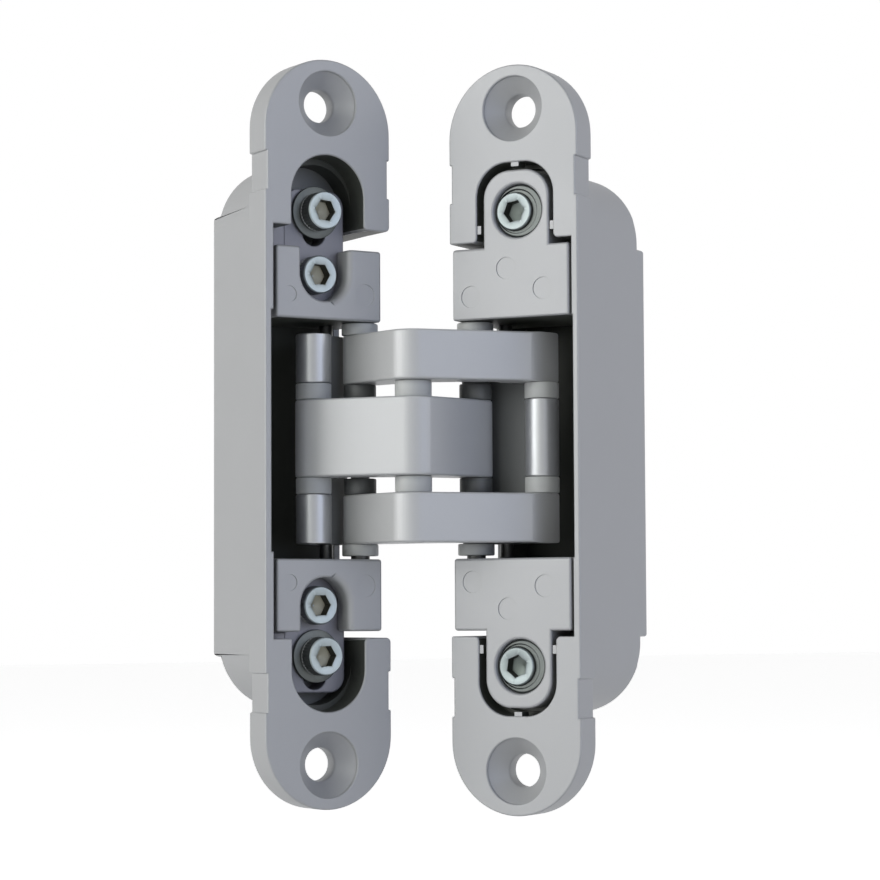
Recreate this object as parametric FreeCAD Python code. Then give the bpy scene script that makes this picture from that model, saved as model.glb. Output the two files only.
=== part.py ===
# Concealed three-dimensional hinge with two housings, two crossed arms and two rear links.
# Sizes are in millimetres. The frame is that of the left plate: X across the plate towards
# the fold, Y into the left housing, Z along the pivots. It is drawn from the centre of the
# plate's front face and saved from the centre of the seating face behind its flange.
import math
import os
import FreeCAD
import Part

os.makedirs("parts", exist_ok=True)

V = FreeCAD.Vector

# Plates
plateLength = 134.0
plateWidth = 25.7
flangeDepth = 6.0
screwInset = 7.9
screwSpacing = plateLength - 2 * screwInset
screwHole = 5.9
countersinkWidth = 11.6
countersinkRim = 0.6
countersinkAngle = 90.0
notchLength = 6.8
notchDepth = 0.45

# How the right plate lies to the left one, as photographed
foldAngle = 119.08
rightOffsetX = 27.33
rightOffsetY = -18.42
heightOffset = -1.2

# Height adjustment of the mechanism in the left housing
heightTravel = 1.8
heightUp = heightTravel - heightOffset
heightDown = heightTravel + heightOffset

# Blocks, along the pivots
blockGap = 42.8
blockLength = 12.9
leftMouthPlay = 0.6
rightMouthPlay = 1.0

# Cases
shoulderInset = 17.55
shoulderLength = plateLength - 2 * shoulderInset
notchInset = 6.65
notchStart = shoulderLength / 2 - notchInset
leftCaseDepth = 20.9
leftShoulderDepth = 17.6
leftDeepInset = 9.45
leftDeepLength = shoulderLength - 2 * leftDeepInset
rightCaseDepth = 29.4
rightShoulderDepth = 25.3
rightDeepInset = 13.85
rightDeepLength = shoulderLength - 2 * rightDeepInset
caseInset = 0.1
caseRound = 1.0
floorWall = 1.3
sideWall = 1.3
leftRimWall = 1.75
rightRimWall = 1.35
rightMiddleRim = 1.15
leftInner = plateWidth / 2 - leftRimWall
rightInner = plateWidth / 2 - rightRimWall

# Openings in the plate face
leftSlotEdge = 5.4
leftSlotWidth = plateWidth - 2 * leftSlotEdge
leftSlotOver = 0.3
leftSlotLength = shoulderLength + 2 * leftSlotOver
rightSlotEdge = 5.2
rightSlotWidth = plateWidth - 2 * rightSlotEdge
rightSlotWall = 0.05
rightSlotLength = shoulderLength - 2 * rightSlotWall
leftMouthLength = blockGap + 2 * (blockLength + heightTravel + leftMouthPlay)
rightMouthLength = blockGap + 2 * (blockLength + rightMouthPlay)
leftSlotDepth = 9.4
rightSlotDepth = 8.0
slotStepDepth = 5.1
slotEndWall = 0.75
slotStepLength = shoulderLength - 2 * slotEndWall
legRound = 1.0
rightSlotShift = 0.35
leftWindowDepth = 9.4
rightWindowDepth = 18.1
nubRadius = 0.8
nubLength = 3.0
nubInset = 2.3
nubHeightAlong = rightMouthLength / 2 + nubInset

# Pivot axes, across the plate and behind its face
leftPivotX = 9.185
leftPivotDepth = 4.6
rightPivotX = 10.09
rightPivotDepth = 4.6
centreX = 12.33
centreDepth = -8.725
leftEndX = 0.164
leftEndDepth = 5.75
rightEndX = -1.822
rightEndDepth = 7.554
leftRearX = 6.414
leftRearDepth = 10.748
rightRearX = 8.05
rightRearDepth = 10.868
leftRearPinX = 5.965
leftRearPinDepth = 11.31
rightRearPinX = 7.61
rightRearPinDepth = 11.72

# Heights of the arm stack
centreArmHeight = 14.0
washerHeight = 2.9
forkArmHeight = 8.9
axialPlay = 0.05
stackLift = 0.25

# Arm outlines in plan
hubRadius = 4.8
leftEndRadius = 3.3
centreArmFootRadius = 3.0
forkFootRadius = 3.05
forkEndRadius = 3.2
elbowRadius = 3.0
elbowAlong = 17.1
elbowForward = 0.35
centreScoopAlong = 13.3
centreScoopBehind = 3.33
forkScoopAlong = 13.9
forkScoopBehind = 2.83
scoopNearAlong = 6.0
scoopNearBehind = 5.6
scoopPlay = 0.3
armEdge = 0.5

# Pins and washers
pivotPinRadius = 1.7
centrePinRadius = 1.9
rearPinRadius = 1.25
pinFit = 0.05
centreWasherRadius = 3.3
outerWasherRadius = 3.3
outerWasherHeight = 2.1
innerWasherRadius = 2.95
sleeveRadius = 2.5
pinRecess = 0.3
pinEdge = 0.3
pivotPinGrip = 9.5
rearPinGrip = 6.5

# Links
knuckleRadius = 3.2
rightBarrelRadius = 3.1
webThickness = 2.6
leftRearRadius = 3.2
rightRearRadius = 3.1
leftRearPlay = 0.98
rightRearPlay = 1.27
webPlay = 2.1

# Blocks, across the plate
leftBlockPlay = 0.9
leftBlockLow = leftBlockPlay - leftInner
leftBlockInset = 1.4
leftBlockHigh = plateWidth / 2 - leftBlockInset
leftBlockFace = 0.7
leftBlockDepth = 16.4
rightBlockInset = 0.57
rightBlockLow = rightBlockInset - plateWidth / 2
rightBlockPlay = 0.42
rightBlockHigh = rightInner - rightBlockPlay
rightBlockDepth = 17.8
blockEdge = 0.6
clampSlotWidth = 9.9
tonguePlay = 1.1
tongueWidth = rightSlotWidth - 2 * tonguePlay
tongueEndPlay = 0.7
tongueLength = slotStepLength - 2 * tongueEndPlay
tongueShift = 0.6

# Sliders
sliderFace = 5.2
sliderThick = 4.15
sliderSidePlay = 1.25
sliderWidth = leftSlotWidth - 2 * sliderSidePlay
sliderEndPlay = 0.4
sliderReach = slotStepLength / 2 - heightTravel - sliderEndPlay
sliderInner = 24.0
sliderEarPlay = 1.2
sliderEarLow = sliderEarPlay - leftInner
sliderPocketOver = 4.3
sliderPocketTop = leftMouthLength / 2 + sliderPocketOver
sliderEarEndPlay = 0.7
sliderEarTop = sliderPocketTop - heightTravel - sliderEarEndPlay
sliderPlay = 0.05
adjustSlotWidth = 4.6
adjustSlotSpare = 0.15

# Screws
headRadius = 3.45
headHeight = 3.5
clampHeadHeight = 2.9
camHeadHeight = 3.2
hexAcross = 3.6
hexDepth = 2.2
headEdge = 0.4
shankRadius = 2.0
clampShankRadius = 1.7
clampShankLength = 3.9
screwWasherRadius = 4.75
screwWasherThick = 0.8
adjustScrewX = 0.0
adjustScrewInset = 3.2
adjustScrewHeight = leftMouthLength / 2 + adjustScrewInset
adjustShankLength = 11.3
clampScrewX = -0.3
clampScrewHeight = 29.65

# Eccentric bushes of the right side
camInset = 7.4
camHeight = tongueLength / 2 - camInset
camX = 0.88
camRadius = 4.75
camBore = 4.85
camFace = 0.9
camLength = 4.5
camThrow = 1.0
camRecess = 3.55
camRecessDepth = 2.9
camClearance = 4.0
camShankLength = 13.5


def box(x0, x1, y0, y1, z0, z1):
    return Part.makeBox(x1 - x0, y1 - y0, z1 - z0, V(x0, y0, z0))


def post(x, y, z0, z1, radius):
    return Part.makeCylinder(radius, z1 - z0, V(x, y, z0), V(0, 0, 1))


def stud(x, z, y0, y1, radius):
    return Part.makeCylinder(radius, y1 - y0, V(x, y0, z), V(0, 1, 0))


def stadium(length, width, y0, y1, shift=0.0):
    radius = width / 2
    straight = length / 2 - radius
    shape = box(shift - radius, shift + radius, y0, y1, -straight, straight)
    shape = shape.fuse(stud(shift, straight, y0, y1, radius))
    return shape.fuse(stud(shift, -straight, y0, y1, radius)).removeSplitter()


def belt(x1, y1, r1, x2, y2, r2, z0, z1):
    # Prism around two circles with their common tangents.
    gap = math.hypot(x2 - x1, y2 - y1)
    heading = math.atan2(y2 - y1, x2 - x1)
    lean = math.acos((r1 - r2) / gap)
    points = []
    for x, y, r, sign in ((x1, y1, r1, 1), (x2, y2, r2, 1), (x2, y2, r2, -1), (x1, y1, r1, -1)):
        turn = heading + sign * lean
        points.append(V(x + r * math.cos(turn), y + r * math.sin(turn), z0))
    face = Part.Face(Part.makePolygon(points + points[:1]))
    shape = face.extrude(V(0, 0, z1 - z0))
    return shape.multiFuse([post(x1, y1, z0, z1, r1), post(x2, y2, z0, z1, r2)])


def hexagon(x, z, y0, y1):
    corner = hexAcross / math.sqrt(3)
    points = []
    for i in range(7):
        turn = math.radians(60 * i + 20)
        points.append(V(x + corner * math.cos(turn), y0, z + corner * math.sin(turn)))
    return Part.Face(Part.makePolygon(points)).extrude(V(0, y1 - y0, 0))


def soften(shape, radius, wanted):
    edges = [edge for edge in shape.Edges if wanted(edge)]
    return shape.makeFillet(radius, edges)


def place_right(shape):
    moved = shape.copy()
    moved.rotate(V(0, 0, 0), V(0, 0, 1), foldAngle - 180)
    moved.translate(V(rightOffsetX, rightOffsetY, heightOffset))
    return moved


def place_left(shape):
    moved = shape.copy()
    moved.translate(V(0, 0, heightOffset))
    return moved


def to_left(x, y):
    turn = math.radians(foldAngle - 180)
    along = rightOffsetX + x * math.cos(turn) - y * math.sin(turn)
    into = rightOffsetY + x * math.sin(turn) + y * math.cos(turn)
    return along, into


def save(node, *solids):
    shape = solids[0] if len(solids) == 1 else Part.makeCompound(list(solids))
    shape.translate(V(0, -flangeDepth, 0))
    shape.exportStep("parts/" + node + ".step")
    print(node, len(solids), round(shape.Volume, 1), shape.isValid(), len(shape.Solids))


# Pivot positions: left ones in the main frame, right ones in the right plate's own frame.
pivotLeft = (leftPivotX, leftPivotDepth)
centre = (centreX, centreDepth)
endLeft = (leftEndX, leftEndDepth)
rearLeft = (leftRearX, leftRearDepth)
pivotRight = to_left(-rightPivotX, rightPivotDepth)
endRight = to_left(-rightEndX, rightEndDepth)
rearRight = to_left(-rightRearX, rightRearDepth)

# Levels of the stack, from the middle of the mechanism.
armTop = centreArmHeight / 2
washerLow = armTop + axialPlay
washerTop = washerLow + washerHeight
forkLow = washerTop + axialPlay
forkTop = forkLow + forkArmHeight
outerLow = forkTop + axialPlay
outerTop = outerLow + outerWasherHeight
blockLow = blockGap / 2
blockTop = blockLow + blockLength


def stack(shape):
    moved = shape.copy()
    moved.translate(V(0, 0, heightOffset + stackLift))
    return moved


def housing(depth, shoulder, deepLength, mouth, window, rim):
    half = plateWidth / 2
    body = stadium(plateLength, plateWidth, 0, flangeDepth)
    body = body.fuse(stadium(shoulderLength, plateWidth - 2 * notchDepth, 0, shoulder))
    wide = half - caseInset
    deep = box(-wide, wide, 0, depth, -deepLength / 2, deepLength / 2)
    deep = soften(deep, caseRound, lambda e: e.BoundBox.YMin > depth - 0.01)
    body = body.fuse(deep)
    for side in (-1, 1):
        for end in (-1, 1):
            low = notchStart if end > 0 else -notchStart - notchLength
            edge = half - notchDepth if side > 0 else -half - 1
            body = body.cut(box(edge, edge + notchDepth + 1, -1, depth, low, low + notchLength))
    for end in (-1, 1):
        z = end * screwSpacing / 2
        step = stud(0, z, -1, countersinkRim, countersinkWidth / 2)
        cone = (countersinkWidth - screwHole) / 2 / math.tan(math.radians(countersinkAngle / 2))
        sink = Part.makeCone(
            countersinkWidth / 2, screwHole / 2, cone, V(0, countersinkRim, z), V(0, 1, 0))
        body = body.cut(stud(0, z, -1, flangeDepth + 1, screwHole / 2).fuse(step).fuse(sink))
    # The mouth is open on the fold side, so that the arms can swing out.
    top = mouth / 2
    body = body.cut(box(-half + rim, half + 1, -1, window, -top, top))
    inner = half - sideWall
    body = body.cut(box(-half + rim, inner, -1, shoulder - floorWall, -top, top))
    # Behind the shoulder the hollow keeps an end wall inside the deep box.
    top = min(top, deepLength / 2 - floorWall)
    return body.cut(box(-half + rim, inner, -1, depth - floorWall, -top, top))


def round_legs(body, slotEdge, top, depth):
    # The corners of the open legs, where the arms swing out.
    for end in (-1, 1):
        for x, inward in ((plateWidth / 2, -1), (slotEdge, 1)):
            centreX = x + inward * legRound
            centreZ = end * (top + legRound)
            x0, x1 = sorted((x - inward, centreX))
            z0, z1 = sorted((end * (top - 1), centreZ))
            tool = box(x0, x1, -1, depth, z0, z1)
            body = body.cut(tool.cut(stud(centreX, centreZ, -2, depth + 1, legRound)))
    return body


def end_slot(body, length, width, depth, shift=0.0):
    # The slot is shorter below its step, which keeps an end wall in the shoulder.
    body = body.cut(stadium(length, width, -1, slotStepDepth, shift))
    return body.cut(stadium(slotStepLength, width, -1, depth, shift))


def ends(build):
    return build(1), build(-1)


def levels(x, y, low, high, radius):
    # The same ring position above and below the centre arm, without its bore.
    return [stack(post(x, y, low, high, radius)), stack(post(x, y, -high, -low, radius))]


def ring_pair(x, y, low, high, radius, bore):
    hole = stack(post(x, y, -high - 1, high + 1, bore))
    return [ring.cut(hole) for ring in levels(x, y, low, high, radius)]


def left_housing():
    body = housing(
        leftCaseDepth, leftShoulderDepth, leftDeepLength, leftMouthLength, leftWindowDepth,
        leftRimWall)
    body = end_slot(body, leftSlotLength, leftSlotWidth, leftSlotDepth)
    body = round_legs(body, leftSlotWidth / 2, leftMouthLength / 2, leftSlotDepth)
    low = -plateWidth / 2 + leftRimWall
    body = body.cut(box(
        low, 0, sliderFace - sliderPlay, leftSlotDepth, -sliderPocketTop, sliderPocketTop))
    thin = -plateWidth / 2 + sideWall
    body = body.cut(box(thin, 0, -1, leftCaseDepth - floorWall, -blockLow, blockLow))
    for end in (-1, 1):
        z = end * adjustScrewHeight
        body = body.cut(stud(adjustScrewX, z, 0, leftShoulderDepth - floorWall, shankRadius))
    return body


def right_housing():
    body = housing(
        rightCaseDepth, rightShoulderDepth, rightDeepLength, rightMouthLength, rightWindowDepth,
        rightRimWall)
    half = plateWidth / 2
    back = rightCaseDepth - floorWall
    body = body.cut(box(-half + rightMiddleRim, 0, -1, back, -blockLow, blockLow))
    body = end_slot(body, rightSlotLength, rightSlotWidth, rightSlotDepth, -rightSlotShift)
    body = round_legs(
        body, rightSlotWidth / 2 - rightSlotShift, rightMouthLength / 2, rightSlotDepth)
    body = body.mirror(V(0, 0, 0), V(1, 0, 0))
    for end in (-1, 1):
        z = end * camHeight
        body = body.cut(
            stud(camX - camThrow, z, 0, rightShoulderDepth - floorWall, shankRadius))
        for side in (-1, 1):
            x = rightSlotShift + side * rightSlotWidth / 2
            nub = stud(x, end * nubHeightAlong, 0, nubLength, nubRadius)
            body = body.fuse(nub)
        tip = stud(rightSlotShift, end * rightSlotLength / 2, 0, nubLength, nubRadius)
        body = body.fuse(tip)
    return body


def left_block(end):
    low, high = sorted((end * blockLow, end * blockTop))
    block = box(leftBlockLow, leftBlockHigh, leftBlockFace, leftBlockDepth, low, high)
    block = soften(block, blockEdge, lambda e: e.BoundBox.YMax < leftBlockFace + 0.01)
    z = end * clampScrewHeight
    slot = stud(clampScrewX, z, -1, sliderFace, clampSlotWidth / 2)
    half = clampSlotWidth / 2
    low, high = sorted((z, end * (blockTop + 1)))
    slot = slot.fuse(box(clampScrewX - half, clampScrewX + half, -1, sliderFace, low, high))
    half = sliderWidth / 2 + sliderPlay
    low, high = sorted((end * (sliderInner - sliderPlay), end * (blockTop + 1)))
    under = box(-half, half, sliderFace - 0.01, sliderFace + sliderThick, low, high)
    block = block.cut(slot.fuse(under))
    block = block.cut(post(leftPivotX, leftPivotDepth, *pin_span(end, pivotPinGrip), pivotPinRadius))
    rear = post(leftRearPinX, leftRearPinDepth, *pin_span(end, rearPinGrip), rearPinRadius)
    return place_left(block.cut(rear))


def pin_span(end, grip):
    low, high = sorted((end * (blockLow - 1), end * (blockLow + grip)))
    return low, high


def left_slider(end):
    half = sliderWidth / 2
    back = sliderFace + sliderThick
    tip = sliderReach - half
    low, high = sorted((end * sliderInner, end * tip))
    plate = box(-half, half, sliderFace, back, low, high)
    plate = plate.fuse(stud(0, end * tip, sliderFace, back, half))
    low, high = sorted((end * (blockTop + sliderPlay), end * sliderEarTop))
    plate = plate.fuse(box(sliderEarLow, 0, sliderFace, back, low, high)).removeSplitter()
    # The slot lets the whole mechanism move up and down on the two fixed screws.
    middle = end * (adjustScrewHeight - end * heightOffset)
    width = adjustSlotWidth / 2
    reach = shankRadius + adjustSlotSpare - width
    top = middle + heightDown + reach
    bottom = middle - heightUp - reach
    slot = stud(adjustScrewX, top, 0, back + 1, width)
    slot = slot.fuse(stud(adjustScrewX, bottom, 0, back + 1, width))
    slot = slot.fuse(box(adjustScrewX - width, adjustScrewX + width, 0, back + 1, bottom, top))
    hole = stud(clampScrewX, end * clampScrewHeight, 0, back + 1, clampShankRadius)
    return place_left(plate.cut(slot).cut(hole))


def right_block(end):
    low, high = sorted((end * blockLow, end * blockTop))
    block = box(rightBlockLow, rightBlockHigh, 0, rightBlockDepth, low, high)
    block = soften(block, blockEdge, lambda e: e.BoundBox.YMax < 0.01)
    half = tongueWidth / 2
    tip = tongueLength / 2 - half
    low, high = sorted((end * (blockTop - 2), end * tip))
    tongue = box(tongueShift - half, tongueShift + half, 0, rightSlotDepth, low, high)
    tongue = tongue.fuse(stud(tongueShift, end * tip, 0, rightSlotDepth, half))
    block = block.fuse(tongue).removeSplitter()
    z = end * camHeight
    seat = stud(camX, z, -1, camFace + camLength, camBore)
    block = block.cut(seat.fuse(stud(camX, z, 0, rightSlotDepth + 1, camClearance)))
    block = block.cut(
        post(-rightPivotX, rightPivotDepth, *pin_span(end, pivotPinGrip), pivotPinRadius))
    rear = post(-rightRearPinX, rightRearPinDepth, *pin_span(end, rearPinGrip), rearPinRadius)
    return place_right(block.cut(rear))


def cap_screw(x, z, face, height, length, radius):
    head = soften(
        stud(x, z, face, face + height, headRadius), headEdge,
        lambda e: e.BoundBox.YMax < face + 0.01)
    head = head.cut(hexagon(x, z, face - 1, face + hexDepth))
    return head.fuse(stud(x, z, face + height, face + height + length, radius))


def adjusting_screw(end):
    face = sliderFace - screwWasherThick - headHeight
    return cap_screw(
        adjustScrewX, end * adjustScrewHeight, face, headHeight, adjustShankLength, shankRadius)


def screw_washer(end):
    z = end * adjustScrewHeight
    face = sliderFace - screwWasherThick
    ring = stud(adjustScrewX, z, face, sliderFace, screwWasherRadius)
    return ring.cut(stud(adjustScrewX, z, 0, sliderFace + 1, shankRadius))


def clamp_screw(end):
    face = sliderFace - clampHeadHeight
    return place_left(cap_screw(
        clampScrewX, end * clampScrewHeight, face, clampHeadHeight, clampShankLength,
        clampShankRadius))


def cam_bush(end):
    z = end * camHeight
    bush = stud(camX, z, camFace, camFace + camLength, camRadius)
    bush = bush.cut(stud(camX - camThrow, z, 0, camFace + camRecessDepth, camRecess))
    return place_right(bush.cut(stud(camX - camThrow, z, 0, camFace + camLength + 1, shankRadius)))


def cam_screw(end):
    face = camFace + camRecessDepth - camHeadHeight
    return place_right(cap_screw(
        camX - camThrow, end * camHeight, face, camHeadHeight, camShankLength, shankRadius))


def beside(start, finish, along, behind):
    # A point given by its distance along a leg and its distance behind it.
    length = math.hypot(finish[0] - start[0], finish[1] - start[1])
    dx = (finish[0] - start[0]) / length
    dy = (finish[1] - start[1]) / length
    sign = 1 if dx > 0 else -1
    return (start[0] + along * dx - sign * behind * dy, start[1] + along * dy + sign * behind * dx)


def trimmed_arm(shape):
    flat = [shape.BoundBox.ZMin, shape.BoundBox.ZMax]
    return soften(
        shape, armEdge,
        lambda e: e.BoundBox.ZLength < 0.01 and min(abs(e.BoundBox.ZMin - z) for z in flat) < 0.01)


def scoop(leg, far, farBehind, radius, low, high):
    x1, y1 = beside(centre, leg, far, farBehind)
    x2, y2 = beside(centre, leg, scoopNearAlong, scoopNearBehind)
    return belt(x1, y1, radius, x2, y2, radius, low, high)


def centre_arm():
    low, high = -armTop, armTop
    arm = belt(*endLeft, leftEndRadius, *centre, hubRadius, low, high)
    arm = arm.fuse(belt(*centre, hubRadius, *pivotRight, centreArmFootRadius, low, high))
    arm = trimmed_arm(arm.removeSplitter())
    arm = arm.cut(scoop(
        endLeft, centreScoopAlong, centreScoopBehind, pivotPinRadius + scoopPlay, low - 1, high + 1))
    for point, radius in (
            (endLeft, pivotPinRadius), (centre, centrePinRadius), (pivotRight, pivotPinRadius)):
        arm = arm.cut(post(*point, low - 1, high + 1, radius + pinFit))
    return stack(arm)


def fork_arm(end):
    low, high = sorted((end * forkLow, end * forkTop))
    elbow = beside(centre, endRight, elbowAlong, -elbowForward)
    arm = belt(*pivotLeft, forkFootRadius, *centre, hubRadius, low, high)
    arm = arm.fuse(belt(*centre, hubRadius, *elbow, elbowRadius, low, high))
    arm = arm.fuse(belt(*elbow, elbowRadius, *endRight, forkEndRadius, low, high))
    arm = trimmed_arm(arm.removeSplitter())
    arm = arm.cut(scoop(
        endRight, forkScoopAlong, forkScoopBehind, sleeveRadius + scoopPlay, low - 1, high + 1))
    arm = arm.cut(post(*pivotLeft, low - 1, high + 1, pivotPinRadius + pinFit))
    arm = arm.cut(post(*centre, low - 1, high + 1, centrePinRadius))
    return stack(arm.cut(post(*endRight, low - 1, high + 1, pivotPinRadius)))


def web(front, rear):
    return belt(*front, webThickness / 2, *rear, webThickness / 2, -forkTop, forkTop)


def left_link():
    plate = web(endLeft, rearLeft)
    plate = plate.cut(post(*endLeft, -forkLow, forkLow, leftEndRadius + webPlay))
    link = plate.multiFuse([
        post(*endLeft, forkLow, forkTop, knuckleRadius),
        post(*endLeft, -forkTop, -forkLow, knuckleRadius),
        post(*rearLeft, -forkTop, forkTop, leftRearRadius)]).removeSplitter()
    link = link.cut(post(*endLeft, -forkTop - 1, forkTop + 1, pivotPinRadius))
    return stack(link.cut(post(*rearLeft, -forkTop - 1, forkTop + 1, rearPinRadius + leftRearPlay)))


def right_link():
    plate = web(endRight, rearRight)
    for low, high in ((armTop, forkTop), (-forkTop, -armTop)):
        plate = plate.cut(post(*endRight, low, high, forkEndRadius + webPlay))
    link = plate.multiFuse([
        post(*endRight, -armTop, armTop, rightBarrelRadius),
        post(*rearRight, -forkTop, forkTop, rightRearRadius)]).removeSplitter()
    link = link.cut(post(*endRight, -armTop - 1, armTop + 1, pivotPinRadius + pinFit))
    return stack(link.cut(
        post(*rearRight, -forkTop - 1, forkTop + 1, rearPinRadius + rightRearPlay)))


def pin(point, reach, radius):
    shape = post(*point, heightOffset - reach, heightOffset + reach, radius)
    return soften(shape, pinEdge, lambda e: e.BoundBox.ZLength < 0.01)


rearPinLeft = (leftRearPinX, leftRearPinDepth)
rearPinRight = to_left(-rightRearPinX, rightRearPinDepth)
blockReach = blockLow + pivotPinGrip
rearReach = blockLow + rearPinGrip
armReach = forkTop - pinRecess

save("left_housing", left_housing())
save("left_adjusting_screws", *ends(adjusting_screw))
save("left_screw_washers", *ends(screw_washer))
save("left_upper_block", left_block(1))
save("left_lower_block", left_block(-1))
save("left_upper_slider", left_slider(1))
save("left_lower_slider", left_slider(-1))
save("left_clamp_screws", *ends(clamp_screw))
save("left_pivot_pin", pin(pivotLeft, blockReach, pivotPinRadius))
save("left_pivot_washers", *ring_pair(
    *pivotLeft, outerLow, outerTop, outerWasherRadius, pivotPinRadius))
save("left_rear_pin", pin(rearPinLeft, rearReach, rearPinRadius))
save("fork_arm_upper", fork_arm(1))
save("fork_arm_lower", fork_arm(-1))
save("centre_pin", pin(centre, armReach, centrePinRadius))
save("right_end_pin", pin(endRight, armReach, pivotPinRadius))
save("centre_arm", centre_arm())
save("centre_washers", *ring_pair(
    *centre, washerLow, washerTop, centreWasherRadius, centrePinRadius + pinFit))
save("left_link", left_link())
save("left_end_pin", pin(endLeft, armReach, pivotPinRadius))
save("left_end_washers", *ring_pair(
    *endLeft, washerLow, washerTop, knuckleRadius, pivotPinRadius))
save("right_link", right_link())
save("right_end_washers", *ring_pair(
    *endRight, washerLow, washerTop, rightBarrelRadius, pivotPinRadius + pinFit))
save("right_housing", place_right(right_housing()))
save("right_upper_block", right_block(1))
save("right_lower_block", right_block(-1))
save("right_cam_bushes", *ends(cam_bush))
save("right_adjusting_screws", *ends(cam_screw))
save("right_pivot_pin", pin(pivotRight, blockReach, pivotPinRadius))
save("right_pivot_washers", *ring_pair(
    *pivotRight, outerLow, outerTop, outerWasherRadius, pivotPinRadius))
save("right_inner_washers", *ring_pair(
    *pivotRight, washerLow, washerTop, innerWasherRadius, pivotPinRadius))
save("right_sleeves", *ring_pair(
    *pivotRight, forkLow, forkTop, sleeveRadius, pivotPinRadius))
save("right_rear_pin", pin(rearPinRight, rearReach, rearPinRadius))
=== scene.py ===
import math
import bmesh
import bpy
from mathutils import Matrix, Vector


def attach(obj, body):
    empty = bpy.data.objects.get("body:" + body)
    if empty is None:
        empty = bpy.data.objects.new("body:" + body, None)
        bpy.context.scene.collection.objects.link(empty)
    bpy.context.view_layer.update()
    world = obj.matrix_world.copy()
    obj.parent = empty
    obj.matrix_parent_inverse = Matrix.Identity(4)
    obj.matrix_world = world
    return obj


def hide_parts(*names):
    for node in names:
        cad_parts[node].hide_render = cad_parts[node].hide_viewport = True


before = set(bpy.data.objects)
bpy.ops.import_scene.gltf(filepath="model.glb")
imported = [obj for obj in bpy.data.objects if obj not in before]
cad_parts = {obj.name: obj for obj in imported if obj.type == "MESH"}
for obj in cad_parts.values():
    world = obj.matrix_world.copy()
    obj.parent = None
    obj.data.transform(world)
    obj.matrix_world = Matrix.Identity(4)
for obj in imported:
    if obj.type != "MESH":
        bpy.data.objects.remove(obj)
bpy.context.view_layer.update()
print("frame loaded")

# Everything is modelled in millimetres in its own place and scaled when it is put on its body.
hinge = {
    "foldAngle": 119.08,
    "rightPlate": (27.33, -18.42),
    "drop": -1.2,  # the mechanism hangs a little lower than the left plate
    "stackLift": 0.25,  # and the arms stand a little above the middle of the blocks
    "seat": 6.0,  # the frame's origin is this far behind the left plate's front face
}
turn = math.radians(hinge["foldAngle"] - 180)
leftPlace = Matrix.Translation((0, -hinge["seat"], 0))
carrierPlace = leftPlace @ Matrix.Translation((0, 0, hinge["drop"]))
stackPlace = carrierPlace @ Matrix.Translation((0, 0, hinge["stackLift"]))
rightPlace = carrierPlace @ Matrix.Translation((*hinge["rightPlate"], 0)) @ Matrix.Rotation(turn, 4, "Z")
past = 1  # cutting shapes run this far beyond the faces that they cut
near = 0.05  # a face this close to a plane lies on it
meshing = {"merge": 0.004, "flatWithin": 0.4, "roundFrom": 28, "sharpFrom": 34}  # mm and degrees


def toLeft(x, y):
    point = leftPlace.inverted() @ rightPlace @ Vector((x, y, 0))
    return point.x, point.y


# Mesh helpers

def solid(shape, name="shape"):
    bmesh.ops.recalc_face_normals(shape, faces=shape.faces)
    mesh = bpy.data.meshes.new(name)
    shape.to_mesh(mesh)
    shape.free()
    obj = bpy.data.objects.new(name, mesh)
    bpy.context.scene.collection.objects.link(obj)
    return obj


def prism(outline, low, high, axis="z"):
    shape = bmesh.new()
    rings = []
    for level in (low, high):
        points = [(a, b, level) if axis == "z" else (a, level, b) for a, b in outline]
        rings.append([shape.verts.new(point) for point in points])
        shape.faces.new(rings[-1])
    count = len(outline)
    for i in range(count):
        j = (i + 1) % count
        shape.faces.new((rings[0][i], rings[0][j], rings[1][j], rings[1][i]))
    return solid(shape)


def box(x0, x1, y0, y1, z0, z1):
    return prism([(x0, y0), (x1, y0), (x1, y1), (x0, y1)], z0, z1)


def turned(levels, at, axis="z", steps=64, closed=False, spin=0.0):
    # Each level is (height, radius) or (height, radius, sideways shift); a radius may be a function.
    shape = bmesh.new()
    rings = []
    for level in levels:
        height, radius = level[:2]
        shift = level[2] if len(level) > 2 else 0.0
        ring = []
        for i in range(steps):
            reach = radius(i, steps) if callable(radius) else radius
            angle = 2 * math.pi * i / steps + math.radians(spin)
            a = at[0] + shift + reach * math.cos(angle)
            b = at[1] + reach * math.sin(angle)
            ring.append(shape.verts.new((a, b, height) if axis == "z" else (a, height, b)))
        rings.append(ring)
    pairs = list(zip(rings, rings[1:]))
    if closed:
        pairs.append((rings[-1], rings[0]))
    for one, two in pairs:
        for i in range(steps):
            j = (i + 1) % steps
            shape.faces.new((one[i], one[j], two[j], two[i]))
    if not closed:
        shape.faces.new(rings[0])
        shape.faces.new(rings[-1])
    return solid(shape)


def rod(at, low, high, radius, axis="z", steps=64):
    return turned([(low, radius), (high, radius)], at, axis, steps)


def softRod(at, low, high, radius, edge, steps=64):
    bend = edge * 0.3
    return turned(
        [(low, radius - edge), (low + bend, radius - bend), (low + edge, radius),
         (high - edge, radius), (high - bend, radius - bend), (high, radius - edge)],
        at, "z", steps)


def softRing(at, low, high, radius, bore, edge, axis="z", steps=64):
    bend, inner = edge * 0.3, edge * 0.5
    return turned(
        [(low, bore + inner), (low, radius - edge), (low + bend, radius - bend),
         (low + edge, radius), (high - edge, radius), (high - bend, radius - bend),
         (high, radius - edge), (high, bore + inner), (high - inner, bore), (low + inner, bore)],
        at, axis, steps, closed=True)


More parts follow.
